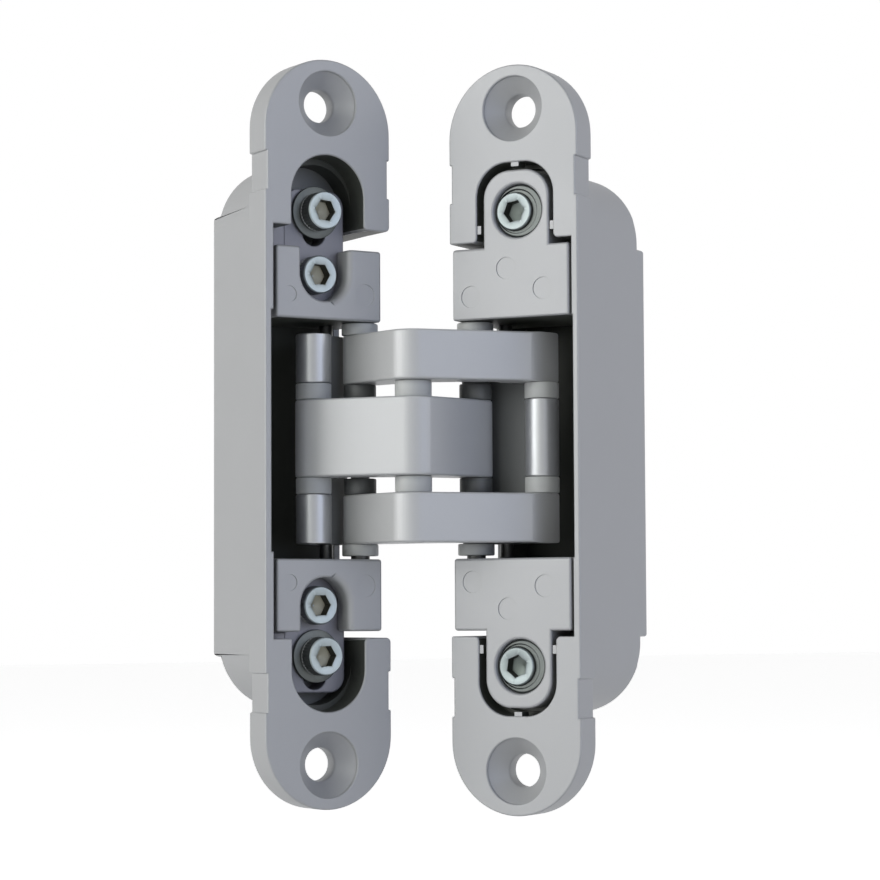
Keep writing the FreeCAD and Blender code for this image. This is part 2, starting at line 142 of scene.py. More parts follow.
def stadium(length, width, shift=0.0, steps=40, squarer=0.0):
    # An outline with two round ends; squarer flattens their middles by so much on either side.
    radius = width / 2 - squarer
    straight = length / 2 - radius
    points = []
    for end, first in ((1, 0), (-1, 180)):
        for i in range(steps + 1):
            angle = math.radians(first + 180 * i / steps)
            across = math.cos(angle)
            side = squarer if across > 0.001 else -squarer if across < -0.001 else 0.0
            points.append((shift + side + radius * across, end * straight + radius * math.sin(angle)))
    return points


def belt(x1, y1, r1, x2, y2, r2, steps=28):
    # Outline round two circles with their common tangents.
    gap = math.hypot(x2 - x1, y2 - y1)
    heading = math.atan2(y2 - y1, x2 - x1)
    lean = math.acos((r1 - r2) / gap)
    points = []
    for x, y, r, first, sweep in (
            (x2, y2, r2, heading - lean, 2 * lean),
            (x1, y1, r1, heading + lean, 2 * math.pi - 2 * lean)):
        for i in range(steps + 1):
            angle = first + sweep * i / steps
            points.append((x + r * math.cos(angle), y + r * math.sin(angle)))
    return points


def settle(obj):
    graph = bpy.context.evaluated_depsgraph_get()
    mesh = bpy.data.meshes.new_from_object(obj.evaluated_get(graph))
    old = obj.data
    obj.modifiers.clear()
    obj.data = mesh
    bpy.data.meshes.remove(old)


def combine(obj, tools, operation):
    for tool in tools:
        step = obj.modifiers.new("combine", "BOOLEAN")
        step.operation = operation
        step.solver = "EXACT"
        step.object = tool
    settle(obj)
    for tool in tools:
        bpy.data.objects.remove(tool)
    return obj


def cut(obj, *tools):
    return combine(obj, tools, "DIFFERENCE")


def fuse(obj, *tools):
    return combine(obj, tools, "UNION")


def cleanFaces(obj):
    shape = bmesh.new()
    shape.from_mesh(obj.data)
    bmesh.ops.remove_doubles(shape, verts=shape.verts, dist=meshing["merge"])
    bmesh.ops.dissolve_limit(
        shape, angle_limit=math.radians(meshing["flatWithin"]), verts=shape.verts, edges=shape.edges)
    shape.to_mesh(obj.data)
    shape.free()


def roundOff(obj, width, where, segments=3, fine=()):
    # where(middle, direction) picks the edges; fine lists (centre, reach, share) for small marks.
    cleanFaces(obj)
    shape = bmesh.new()
    shape.from_mesh(obj.data)
    weights = shape.edges.layers.float.get("bevel_weight_edge")
    if weights is None:
        weights = shape.edges.layers.float.new("bevel_weight_edge")
    for edge in shape.edges:
        edge[weights] = 0.0
        bend = edge.calc_face_angle(0.0)
        if len(edge.link_faces) != 2 or bend < math.radians(meshing["roundFrom"]) or not edge.is_convex:
            continue
        middle = (edge.verts[0].co + edge.verts[1].co) / 2
        direction = (edge.verts[1].co - edge.verts[0].co).normalized()
        if not where(middle, direction):
            continue
        share = 1.0
        for centre, reach, part in fine:
            if (middle - Vector(centre)).length < reach:
                share = part
        edge[weights] = share
    shape.to_mesh(obj.data)
    shape.free()
    bevel = obj.modifiers.new("round", "BEVEL")
    bevel.limit_method = "WEIGHT"
    bevel.width = width
    bevel.segments = segments
    bevel.use_clamp_overlap = False
    settle(obj)
    return obj


def everywhere(middle, direction):
    return True


def joined(parts):
    shape = bmesh.new()
    for part in parts:
        shape.from_mesh(part.data)
    for part in parts:
        bpy.data.objects.remove(part)
    return solid(shape)


def fit(parts, name, node, body, place, material, flat=False):
    # Smooth shading, real size and place, material, body and the CAD node that it stands for.
    obj = joined(parts) if isinstance(parts, list) else parts
    obj.data.transform(Matrix.Scale(0.001, 4) @ place)
    obj.name = name
    obj.data.name = name
    obj.data.shade_smooth()
    obj.data.set_sharp_from_angle(angle=math.radians(meshing["sharpFrom"]))
    if flat:
        even = obj.modifiers.new("even normals", "WEIGHTED_NORMAL")
        even.mode = "FACE_AREA"
        even.weight = 50
        even.keep_sharp = True
        settle(obj)
    slots = [face.material_index for face in obj.data.polygons]  # clear() would lose them
    obj.data.materials.clear()
    for finish in material if isinstance(material, tuple) else (material,):
        obj.data.materials.append(finish)
    if isinstance(material, tuple):
        obj.data.polygons.foreach_set("material_index", slots)
    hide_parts(node)
    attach(obj, body)
    return obj


# Shader groups

def shaderGroup(name, inputs, outputs):
    group = bpy.data.node_groups.new(name, "ShaderNodeTree")
    for label, kind, value in inputs:
        socket = group.interface.new_socket(name=label, in_out="INPUT", socket_type=kind)
        socket.default_value = value
    for label, kind in outputs:
        group.interface.new_socket(name=label, in_out="OUTPUT", socket_type=kind)
    return group, group.nodes.new("NodeGroupInput"), group.nodes.new("NodeGroupOutput")


def compute(tree, operation, first, second):
    node = tree.nodes.new("ShaderNodeMath")
    node.operation = operation
    for socket, value in zip(node.inputs, (first, second)):
        if isinstance(value, (int, float)):
            socket.default_value = value
        else:
            tree.links.new(value, socket)
    return node.outputs[0]


def noise(tree, coordinates, scale, detail, roughness=0.5):
    node = tree.nodes.new("ShaderNodeTexNoise")
    node.inputs["Detail"].default_value = detail
    node.inputs["Roughness"].default_value = roughness
    if isinstance(scale, (int, float)):
        node.inputs["Scale"].default_value = scale
    else:
        tree.links.new(scale, node.inputs["Scale"])
    tree.links.new(coordinates, node.inputs["Vector"])
    return node.outputs[0]


def swing(tree, value, reach):
    # A noise value moved about zero and scaled.
    return compute(tree, "MULTIPLY", compute(tree, "SUBTRACT", value, 0.5), reach)


def makeCastGrain():
    # Fine grain of a sprayed die casting, with a slow drift of tone over it.
    group, start, end = shaderGroup(
        "castGrain",
        [("Color", "NodeSocketColor", (0.6, 0.6, 0.62, 1)), ("Roughness", "NodeSocketFloat", 0.4),
         ("Grain Scale", "NodeSocketFloat", 5200.0), ("Tone", "NodeSocketFloat", 0.05)],
        [("Color", "NodeSocketColor"), ("Roughness", "NodeSocketFloat"), ("Height", "NodeSocketFloat")])
    driftScale, driftShine = 90.0, 1.6
    place = group.nodes.new("ShaderNodeTexCoord").outputs["Object"]
    fine = noise(group, place, start.outputs["Grain Scale"], 3.0, 0.6)
    slow = noise(group, place, driftScale, 3.0)
    drift = swing(group, slow, start.outputs["Tone"])
    speck = swing(group, fine, start.outputs["Tone"])
    factor = compute(group, "ADD", compute(group, "ADD", drift, speck), 1.0)
    scaled = group.nodes.new("ShaderNodeVectorMath")
    scaled.operation = "SCALE"
    group.links.new(start.outputs["Color"], scaled.inputs[0])
    group.links.new(factor, scaled.inputs["Scale"])
    group.links.new(scaled.outputs[0], end.inputs["Color"])
    shine = compute(group, "MULTIPLY", drift, driftShine)
    rough = compute(group, "ADD", start.outputs["Roughness"], shine)
    group.links.new(rough, end.inputs["Roughness"])
    group.links.new(fine, end.inputs["Height"])
    return group


def makeTurnMarks():
    # Fine rings left by turning or grinding, as a height and a change of roughness.
    group, start, end = shaderGroup(
        "turnMarks",
        [("Roughness", "NodeSocketFloat", 0.3), ("Stretch", "NodeSocketVector", (1, 1, 1)),
         ("Scale", "NodeSocketFloat", 2500.0), ("Spread", "NodeSocketFloat", 0.12)],
        [("Roughness", "NodeSocketFloat"), ("Height", "NodeSocketFloat"), ("Mask", "NodeSocketFloat")])
    spotScale = 420.0
    place = group.nodes.new("ShaderNodeTexCoord").outputs["Object"]
    stretched = group.nodes.new("ShaderNodeVectorMath")
    stretched.operation = "MULTIPLY"
    group.links.new(place, stretched.inputs[0])
    group.links.new(start.outputs["Stretch"], stretched.inputs[1])
    lines = noise(group, stretched.outputs[0], start.outputs["Scale"], 3.0, 0.6)
    spots = noise(group, place, spotScale, 4.0, 0.6)
    streak = swing(group, lines, start.outputs["Spread"])
    patch = swing(group, spots, start.outputs["Spread"])
    rough = compute(group, "ADD", start.outputs["Roughness"], compute(group, "ADD", streak, patch))
    group.links.new(rough, end.inputs["Roughness"])
    group.links.new(lines, end.inputs["Height"])
    group.links.new(spots, end.inputs["Mask"])
    return group


castGrain = makeCastGrain()
turnMarks = makeTurnMarks()
grainDepth = 0.00002  # metres


def newMaterial(name):
    material = bpy.data.materials.new(name)
    material.use_nodes = True
    tree = material.node_tree
    return material, tree, tree.nodes["Principled BSDF"]


def addBump(tree, shader, height, strength):
    bump = tree.nodes.new("ShaderNodeBump")
    bump.inputs["Strength"].default_value = strength
    bump.inputs["Distance"].default_value = grainDepth
    tree.links.new(height, bump.inputs["Height"])
    tree.links.new(bump.outputs[0], shader.inputs["Normal"])


def castMaterial(name, color, roughness, metallic, grain=5200.0, tone=0.06, bump=0.25):
    material, tree, shader = newMaterial(name)
    group = tree.nodes.new("ShaderNodeGroup")
    group.node_tree = castGrain
    group.inputs["Color"].default_value = (*color, 1)
    group.inputs["Roughness"].default_value = roughness
    group.inputs["Grain Scale"].default_value = grain
    group.inputs["Tone"].default_value = tone
    tree.links.new(group.outputs["Color"], shader.inputs["Base Color"])
    tree.links.new(group.outputs["Roughness"], shader.inputs["Roughness"])
    shader.inputs["Metallic"].default_value = metallic
    addBump(tree, shader, group.outputs["Height"], bump)
    return material


def steelMaterial(name, color, other, roughness, metallic, stretch=(1, 1, 1)):
    # The colour wanders between two tones; stretch draws the marks out along an axis.
    scale, spread, bump = 2500.0, 0.14, 0.2
    material, tree, shader = newMaterial(name)
    group = tree.nodes.new("ShaderNodeGroup")
    group.node_tree = turnMarks
    group.inputs["Roughness"].default_value = roughness
    group.inputs["Stretch"].default_value = stretch
    group.inputs["Scale"].default_value = scale
    group.inputs["Spread"].default_value = spread
    mix = tree.nodes.new("ShaderNodeMix")
    mix.data_type = "RGBA"
    mix.inputs["A"].default_value = (*color, 1)
    mix.inputs["B"].default_value = (*other, 1)
    tree.links.new(group.outputs["Mask"], mix.inputs["Factor"])
    tree.links.new(mix.outputs["Result"], shader.inputs["Base Color"])
    tree.links.new(group.outputs["Roughness"], shader.inputs["Roughness"])
    shader.inputs["Metallic"].default_value = metallic
    addBump(tree, shader, group.outputs["Height"], bump)
    return material


castSilver = castMaterial("sprayed silver casting", (0.46, 0.465, 0.475), 0.48, 0.15)
# Painted shade: near-black and dim copies of the casting for the cavities, the slot walls and floors, the
# blocks' inner ends and the left link's web.
deepShadeCasting = castMaterial("painted deep shade on the casting", (0.07, 0.075, 0.066), 0.5, 0.15)
halfShadeCasting = castMaterial("painted half shade on the casting", (0.22, 0.225, 0.22), 0.5, 0.15)
# The arms' sprayed finish, lighter than the housings'; the extra lightness is painted light.
litArmSilver = castMaterial("sprayed silver arm with painted light", (0.6, 0.605, 0.61), 0.42, 0.12)
sliderGrey = castMaterial("slider casting", (0.28, 0.28, 0.31), 0.5, 0.2)
zinc = steelMaterial("bright zinc plate", (0.29, 0.345, 0.36), (0.40, 0.44, 0.445), 0.44, 0.7)
headSide = steelMaterial("knurled head side", (0.14, 0.15, 0.155), (0.26, 0.27, 0.27), 0.36, 0.8)
# Painted shade: a near-black steel for the socket walls.
socketShadeSteel = steelMaterial("painted shade in the screw socket", (0.03, 0.035, 0.028), (0.06, 0.06, 0.05), 0.45, 0.5)
socketFloor = steelMaterial("screw socket floor", (0.30, 0.29, 0.22), (0.4, 0.39, 0.31), 0.5, 0.5)
# A near-black zinc for the eccentric bushes, and painted shade on the left screws' washers under the
# heads.
darkZincAndShade = steelMaterial("dark zinc bush and shaded washer", (0.07, 0.08, 0.077), (0.15, 0.16, 0.155), 0.45, 0.75)
# Painted shade: darker copies of the zinc plate and the socket floor for the right adjusting screws.
shadedZinc = steelMaterial("shaded zinc plate", (0.20, 0.235, 0.24), (0.31, 0.345, 0.345), 0.44, 0.7)
shadedFloor = steelMaterial("dark socket floor", (0.11, 0.135, 0.125), (0.24, 0.27, 0.255), 0.45, 0.6)
# Painted shade: a near-black steel for the pins, which stand deep among the arms and links.
shadedPinSteel = steelMaterial(
    "shaded pin steel", (0.11, 0.115, 0.11), (0.16, 0.16, 0.16), 0.4, 0.8, (0.15, 0.15, 1))
barrelSteel = steelMaterial(
    "satin barrel steel", (0.38, 0.39, 0.405), (0.44, 0.45, 0.46), 0.4, 0.7, (1, 1, 0.06))
# Painted shade: a dark grey for the right link's web and for the sleeves and washers between the arms.
shadeGrey = castMaterial("painted shade grey", (0.13, 0.135, 0.135), 0.5, 0.2)
washerGrey = castMaterial("moulded grey washer", (0.58, 0.59, 0.585), 0.5, 0.0, 3000.0, 0.04, 0.15)
print("materials made")

# Plates and cases

plate = {
    "length": 134.0, "width": 25.7, "flange": 6.0, "screwSpacing": 118.2, "screwHole": 5.9,
    "sinkWidth": 11.6, "sinkRim": 0.6, "notchStart": 42.8, "notchLength": 6.8, "notchDepth": 0.45,
    "notchBehind": 0.7, "shoulderLength": 98.9, "shoulderStart": 0.5, "caseStart": 0.7,
    "caseRound": 1.9, "wall": 1.3, "edge": 0.32, "window": 18.1, "legRound": 0.85, "slotStep": 5.1,
    "slotStepLength": 97.4,
}


def housing(case):
    # Built with the fold side towards +X; the right one is mirrored afterwards.
    half = plate["width"] / 2
    depth = case["depth"]
    body = prism(stadium(plate["length"], plate["width"]), 0, plate["flange"], "y")
    outline = stadium(plate["shoulderLength"], plate["width"])
    shoulder = prism(outline, plate["shoulderStart"], case["shoulder"], "y")
    long = case["deepLength"] / 2
    deep = roundOff(
        box(-half, half, plate["caseStart"], depth, -long, long), plate["caseRound"],
        lambda m, d: m.y > depth - 0.01, 5)
    combine(deep, [prism(outline, 0, depth + past, "y")], "INTERSECT")
    body = fuse(body, shoulder, deep)
    tools = []
    for side in (-1, 1):
        for end in (-1, 1):
            low = plate["notchStart"] if end > 0 else -plate["notchStart"] - plate["notchLength"]
            edge = half - plate["notchDepth"] if side > 0 else -half - past
            tools.append(box(
                edge, edge + plate["notchDepth"] + past, -past, plate["flange"] + plate["notchBehind"],
                low, low + plate["notchLength"]))
    for end in (-1, 1):
        hole, sink, rim = plate["screwHole"] / 2, plate["sinkWidth"] / 2, plate["sinkRim"]
        tools.append(turned(
            [(-past, sink), (rim, sink), (rim + sink - hole, hole), (plate["flange"] + past, hole)],
            (0, end * plate["screwSpacing"] / 2), "y", 72))
    top = case["mouth"] / 2
    rim = -half + case["rim"]
    inner = half - plate["wall"]
    floor = depth - plate["wall"]
    low = min(top, long - plate["wall"])
    gap = case["blockGap"]
    tools += [
        box(rim, half + past, -past, plate["window"], -top, top),
        box(rim, inner, -past, case["shoulder"] - plate["wall"], -top, top),
        box(rim, inner, -past, floor, -low, low),
        box(-half + case["middleRim"], 0, -past, floor, -gap, gap)]
    for length, slotFloor in (
            (case["slotLength"], plate["slotStep"]), (plate["slotStepLength"], case["slotDepth"])):
        around = stadium(length, case["slotWidth"], case["slotShift"], squarer=case["squarer"])
        tools.append(prism(around, -past, slotFloor, "y"))
    return body, tools, top


def finishHousing(body, case, top):
    # The legs' corners first, then every edge that the hand can reach.
    half = plate["width"] / 2

    def legCorner(middle, direction):
        atMouth = abs(direction.y) > 0.99 and abs(abs(middle.z) - top) < near
        return atMouth and middle.y < case["slotDepth"] and middle.x > case["roundFrom"]

    def openEdge(middle, direction):
        if -0.3 < middle.y - plate["slotStep"] < 0.3:
            return False  # the low steps of the slot stay sharp
        if abs(middle.y - plate["flange"]) < near and abs(middle.z) < case["deepLength"] / 2 + 1:
            return False  # nor is the corner behind the flange rounded
        return middle.y < case["slotDepth"] + 0.1 or abs(middle.x) > half - 0.6

    roundOff(body, plate["legRound"], legCorner, 5)
    roundOff(body, plate["edge"], openEdge)


def paintCavityShade(obj, place, case, side):
    # Painted shade: the cavity and the slot walls get the deep-shade material and the slot floor the
    # half-shade one, while the outside and the rims keep their finish.
    obj.data.materials.append(deepShadeCasting)
    obj.data.materials.append(halfShadeCasting)
    back = place.inverted()
    half = plate["width"] / 2
    slot = case["slotWidth"] / 2
    for face in obj.data.polygons:
        centre = back @ (face.center * 1000)
        x, y, z = centre.x * side, centre.y, abs(centre.z)
        if y < 0.6 or x < case["rim"] - half - near or y > case["depth"] - plate["wall"] + near:
            continue
        if z > case["mouth"] / 2 + near:
            across = abs(x - case["slotShift"])
            inSlot = z < case["slotLength"] / 2 + near and across < slot + near
            if inSlot and y < case["slotDepth"] + near:
                face.material_index = 2 if y > case["slotDepth"] - near else 1
        elif x < half - plate["wall"] + near and (x < slot + 0.1 or y > plate["flange"] + 0.5):
            face.material_index = 1


leftCase = {
    "depth": 20.9, "shoulder": 17.6, "deepLength": 80.0, "mouth": 73.4, "rim": 1.75,
    "middleRim": 1.3, "blockGap": 21.4, "slotLength": 99.5, "slotWidth": 14.9, "slotDepth": 9.4,
    "slotShift": 0.0, "squarer": 0.0, "roundFrom": 4, "pocketTop": 41.0, "pocketDepth": 5.15,
    "screwX": 0, "screwHeight": 39.9, "screwHole": 2.0, "holeStart": 5,
}


def screwHoles(case):
    return [rod((case["screwX"], end * case["screwHeight"]), case["holeStart"],
                case["shoulder"] - plate["wall"], case["screwHole"], "y", 32) for end in (-1, 1)]


body, tools, top = housing(leftCase)
tools.append(box(
    -plate["width"] / 2 + leftCase["rim"], 0, leftCase["pocketDepth"], leftCase["slotDepth"],
    -leftCase["pocketTop"], leftCase["pocketTop"]))
cut(body, *tools, *screwHoles(leftCase))
finishHousing(body, leftCase, top)
casting = fit(
    body, "leftHousingCasting", "left_housing", "left_housing", leftPlace, castSilver, flat=True)
paintCavityShade(casting, leftPlace, leftCase, 1)
print("left housing made")

rightCase = {
    "depth": 29.4, "shoulder": 25.3, "deepLength": 71.2, "mouth": 70.6, "rim": 1.35,
    "middleRim": 1.15, "blockGap": 21.4, "slotLength": 98.8, "slotWidth": 15.3, "slotDepth": 8.0,
    "slotShift": -0.35, "squarer": 1.6, "roundFrom": -9, "screwX": 0.12, "screwHeight": 40.6,
    "screwHole": 2.0, "holeStart": 7, "nub": 0.75, "nubFace": 0.35, "nubDepth": 3.0, "nubHeight": 37.6,
}


def rightNubs():
    # Small tabs round the slots that the blocks' tongues lie between.
    s = rightCase
    size = s["nub"]
    places = []
    for end in (-1, 1):
        for side in (-1, 1):
            places.append((s["slotShift"] + side * s["slotWidth"] / 2, end * s["nubHeight"]))
        places.append((s["slotShift"], end * s["slotLength"] / 2))
    return [box(x - size, x + size, s["nubFace"], s["nubDepth"], z - size, z + size) for x, z in places]


body, tools, top = housing(rightCase)
cut(body, *tools)
cut(body, *screwHoles(rightCase))
finishHousing(body, rightCase, top)
body = joined([body] + rightNubs())
body.data.transform(Matrix.Scale(-1, 4, (1, 0, 0)))
body.data.flip_normals()
casting = fit(
    body, "rightHousingCasting", "right_housing", "right_side", rightPlace, castSilver, flat=True)
paintCavityShade(casting, rightPlace, rightCase, -1)
print("right housing made")

# Left blocks, sliders and screws

leftBlock = {
    "low": -10.2, "high": 11.45, "face": 0.7, "depth": 16.4, "start": 21.4, "length": 12.9,
    "edge": 0.5, "slotX": -0.3, "slotWidth": 9.9, "slotCentre": 29.65, "slotDepth": 5.2,
    "slotRound": 1.3, "channel": 6.25, "channelDepth": 9.35, "channelStart": 23.95,
    "cutTo": 40, "marks": ((-7.55, 25.6, 1.45), (8.0, 26.2, 2.0)), "markDepth": 0.16, "markEdge": 0.06,
}
pivots = {
    "left": (9.185, 4.6), "right": toLeft(-10.09, 4.6), "centre": (12.33, -8.725),
    "leftEnd": (0.164, 5.75), "rightEnd": toLeft(1.822, 7.554), "leftRear": (6.414, 10.748),
    "rightRear": toLeft(-8.05, 10.868), "leftRearPin": (5.965, 11.31),
    "rightRearPin": toLeft(-7.61, 11.72),
}
levels = {  # the stack on each pivot, from the middle outwards
    "arm": 7.0, "washer": 7.05, "washerTop": 9.95, "fork": 10.0, "forkTop": 18.9, "outer": 18.95,
    "outerTop": 21.05,
}


def span(end, low, high):
    return (low, high) if end > 0 else (-high, -low)


def bothEnds(make, name, node, body, place, material):
    pieces = []
    for end, label in ((1, "Upper"), (-1, "Lower")):
        pieces.append(fit(
            make(end), name.format(label), node.format(label.lower()), body, place, material, flat=True))
    return pieces


def blockMarks(block, end, face):
    # Shallow round marks left by the ejector pins.
    tools = []
    fine = []
    for x, z, radius in block["marks"]:
        tools.append(rod((x, end * z), face - past, face + block["markDepth"], radius, "y", 48))
        fine.append(((x, face, end * z), radius + 0.1, block["markEdge"]))
    return tools, fine


def paintBlockEndShade(obj, place, block):
    # The end towards the arms gets the deep-shade material: painted shade.
    obj.data.materials.append(deepShadeCasting)
    back = place.inverted()
    for face in obj.data.polygons:
        if abs((back @ (face.center * 1000)).z) < block["start"] + 0.02:
            face.material_index = 1


def makeLeftBlock(end):
    s = leftBlock
    low, high = span(end, s["start"], s["start"] + s["length"])
    body = box(s["low"], s["high"], s["face"], s["depth"], low, high)
    half = s["slotWidth"] / 2
    centre = end * s["slotCentre"]
    low, high = sorted((centre, end * s["cutTo"]))
    tools = [
        rod((s["slotX"], centre), -past, s["slotDepth"], half, "y", 72),
        box(s["slotX"] - half, s["slotX"] + half, -past, s["slotDepth"], low, high)]
    low, high = span(end, s["channelStart"], s["cutTo"])
    tools.append(box(-s["channel"], s["channel"], s["slotDepth"] - 0.02, s["channelDepth"], low, high))
    marks, fine = blockMarks(s, end, s["face"])

    def slotEdge(middle, direction):
        onFace = abs(middle.y - s["face"]) < 0.01 and 0.8 < middle.x < s["slotX"] + half + 0.1
        return onFace and s["start"] + 1.5 < end * middle.z < s["start"] + s["length"] - near

    cut(body, *tools)
    roundOff(body, s["slotRound"], slotEdge, 5)
    cut(body, *marks)
    return roundOff(body, s["edge"], everywhere, fine=fine)


for block in bothEnds(
        makeLeftBlock, "left{}Block", "left_{}_block", "left_carrier", carrierPlace, castSilver):
    paintBlockEndShade(block, carrierPlace, leftBlock)
print("left blocks made")

slider = {
    "face": 5.2, "thick": 4.15, "width": 12.4, "tip": 45.3, "corner": 3.0, "inner": 24.0,
    "earLow": -9.9, "earStart": 34.35, "earTop": 38.5, "slotWidth": 4.6, "slotSpare": 0.95,
    "edge": 0.3, "screw": (-0.3, 29.65), "screwHole": 1.7, "fixed": 39.9, "shank": 2.0,
    "up": 3.0, "down": 0.6,
}


def makeSlider(end):
    s = slider
    half = s["width"] / 2
    back = s["face"] + s["thick"]
    low, high = span(end, s["inner"], s["tip"])
    body = box(-half, half, s["face"], back, low, high)
    roundOff(body, s["corner"], lambda m, d: abs(d.y) > 0.99 and abs(m.z - end * s["tip"]) < 0.01, 8)
    low, high = span(end, s["earStart"], s["earTop"])
    fuse(body, box(s["earLow"], 0, s["face"] + 0.001, back - 0.001, low, high))
    middle = end * s["fixed"] - hinge["drop"]  # where the fixed screw stands in the moving slider
    rise = s["shank"] + s["slotSpare"]
    top = middle + s["down"] + rise
    bottom = middle - s["up"] - rise
    outline = [(x, z + (top + bottom) / 2) for x, z in stadium(top - bottom, s["slotWidth"])]
    slot = prism(outline, 0, back + past, "y")
    hole = rod((s["screw"][0], end * s["screw"][1]), 0, back + past, s["screwHole"], "y", 40)
    cut(body, slot, hole)
    return roundOff(body, s["edge"], lambda m, d: m.y < s["face"] + 0.1)


bothEnds(makeSlider, "left{}Slider", "left_{}_slider", "left_carrier", carrierPlace, sliderGrey)
print("left sliders made")

capScrew = {
    "radius": 3.45, "edge": 0.25, "faceRadius": 3.2, "chamfer": 0.15, "hexAcross": 3.6,
    "hexDepth": 2.2, "hexMouth": 1.24, "hexMouthDepth": 0.16, "hexFloor": 0.44, "drillPoint": 0.7,
    "knurl": 0.16, "knurlEnd": 0.5, "tip": 0.6, "tipShare": 0.7, "steps": 72,
}


def hexReach(across):
    def reach(i, steps):
        part = (2 * math.pi * i / steps) % (math.pi / 3)
        return across / 2 / math.cos(part - math.pi / 6)
    return reach


def knurlReach(radius, depth):
    return lambda i, steps: radius - (depth if i % 2 else 0.0)


def screwHead(x, z, face, height, length, shank, spin, knurled=True):
    # Turned from the tip of the shank, over the head and down into the socket.
    s = capScrew
    radius, edge, chamfer = s["radius"], s["edge"], s["chamfer"]
    rough = knurlReach(radius, s["knurl"] if knurled else 0.0)
    base = face + height
    across = s["hexAcross"]
    hexagon = hexReach(across)
    floor = face + s["hexDepth"]
    screw = turned(
        [(base + length, shank * s["tipShare"]), (base + length - s["tip"], shank), (base, shank),
         (base, radius - chamfer), (base - chamfer, radius), (base - s["knurlEnd"], radius),
         (base - s["knurlEnd"] - 0.05, rough), (face + edge + 0.1, rough),
         (face + edge, radius - 0.04), (face + edge * 0.4, radius - 0.14), (face, s["faceRadius"]),
         (face, across / 2 * s["hexMouth"]), (face + s["hexMouthDepth"], hexagon), (floor, hexagon),
         (floor + 0.02, across * s["hexFloor"]), (floor + s["drillPoint"], 0.15)],
        (x, z), "y", s["steps"], spin=spin)
    # Painted shade: the socket walls take slot 1; the socket floor takes slot 2 and the knurled side slot
    # 3.
    for side in screw.data.polygons:
        away = math.hypot(side.center.x - x, side.center.z - z)
        if face + 0.1 < side.center.y < base and away < across * 0.6:
            side.material_index = 1 if side.center.y < floor - 0.01 else 2
        elif side.center.y > face + edge and away > shank + 0.1:
            side.material_index = 3
    return screw


def screwPair(s, x, height, face, place, name, node, body, finish, knurled=True):
    screws = [
        screwHead(x, end * height, face, s["head"], s["shankLength"], s["shank"], spin, knurled)
        for end, spin in zip((1, -1), s["spins"])]
    fit(screws, name, node, body, place, finish)


screwFinish = (zinc, socketShadeSteel, socketFloor, headSide)
adjusters = {
    "height": 39.9, "face": 0.9, "head": 3.5, "shankLength": 11.3, "shank": 2.0, "spins": (-5, 3),
}
screwWashers = {"face": 4.4, "back": 5.2, "radius": 4.75, "bore": 2.02, "edge": 0.2}
clamps = {
    "x": -0.3, "height": 29.65, "face": 2.3, "head": 2.9, "shankLength": 3.9, "shank": 1.7,
    "spins": (0, 2),
}
screwPair(adjusters, 0.0, adjusters["height"], adjusters["face"], leftPlace,
          "leftAdjustingScrews", "left_adjusting_screws", "left_housing", screwFinish)
# Painted shade: the washers under the left heads take the near-black zinc.
fit([softRing((0.0, end * adjusters["height"]), screwWashers["face"], screwWashers["back"],
              screwWashers["radius"], screwWashers["bore"], screwWashers["edge"], "y", 96)
     for end in (1, -1)],
    "leftScrewWashers", "left_screw_washers", "left_housing", leftPlace, darkZincAndShade)
screwPair(clamps, clamps["x"], clamps["height"], clamps["face"], carrierPlace,
          "leftClampScrews", "left_clamp_screws", "left_carrier", screwFinish)
print("left screws made")

# Right blocks, eccentric bushes and their screws

rightBlock = {
    "low": -12.28, "high": 11.08, "depth": 17.8, "start": 21.4, "length": 12.9, "edge": 0.5,
    "tongueX": 0.6, "tongueWidth": 13.1, "tongueLength": 96.0, "tongueDepth": 8.0, "squarer": 1.5,
    "camX": 0.88, "camHeight": 40.6, "camBore": 4.85, "camSeat": 5.4, "screwBore": 4.0,
    "marks": ((-8.5, 25.6, 1.95), (-1.4, 30.4, 1.95), (5.9, 26.4, 1.95)), "markDepth": 0.16,
    "markEdge": 0.06,
}


def makeRightBlock(end):
    s = rightBlock
    low, high = span(end, s["start"], s["start"] + s["length"])
    body = box(s["low"], s["high"], 0, s["depth"], low, high)
    outline = stadium(s["tongueLength"], s["tongueWidth"], s["tongueX"], squarer=s["squarer"])
    tongue = prism(outline, 0, s["tongueDepth"], "y")
    low, high = span(end, -60, s["start"] + s["length"] - 2)  # only what stands out of the block stays
    cut(tongue, box(-20, 20, -2, 12, low, high))
    fuse(body, tongue)
    camBore = turned(
        [(-past, s["camBore"]), (s["camSeat"], s["camBore"]), (s["camSeat"], s["screwBore"]),
         (s["tongueDepth"] + past, s["screwBore"])], (s["camX"], end * s["camHeight"]), "y", 80)
    marks, fine = blockMarks(s, end, 0)
    cut(body, camBore)
    cut(body, *marks)
    return roundOff(body, s["edge"], lambda m, d: m.y < s["depth"] - 0.8, fine=fine)


for block in bothEnds(
        makeRightBlock, "right{}Block", "right_{}_block", "right_side", rightPlace, castSilver):
    paintBlockEndShade(block, rightPlace, rightBlock)
print("right blocks made")

cam = {
    "x": 0.88, "height": 40.6, "radius": 4.75, "face": 0.9, "length": 4.5, "throw": 1.0,
    "chamfer": (0.25, 0.3), "bore": 2.02, "recess": 3.55, "recessDepth": 2.9,
    "rings": ((0.5, 3.85, 0.6), (0.2, 3.95, 0.5)),  # depth, radius and share of the throw
    "lip": 4.05, "lipShare": 0.45, "ledge": 0.5,
    "head": 3.2, "headFace": 0.6, "shankLength": 13.5, "shank": 2.0, "spins": (8, 22),
}


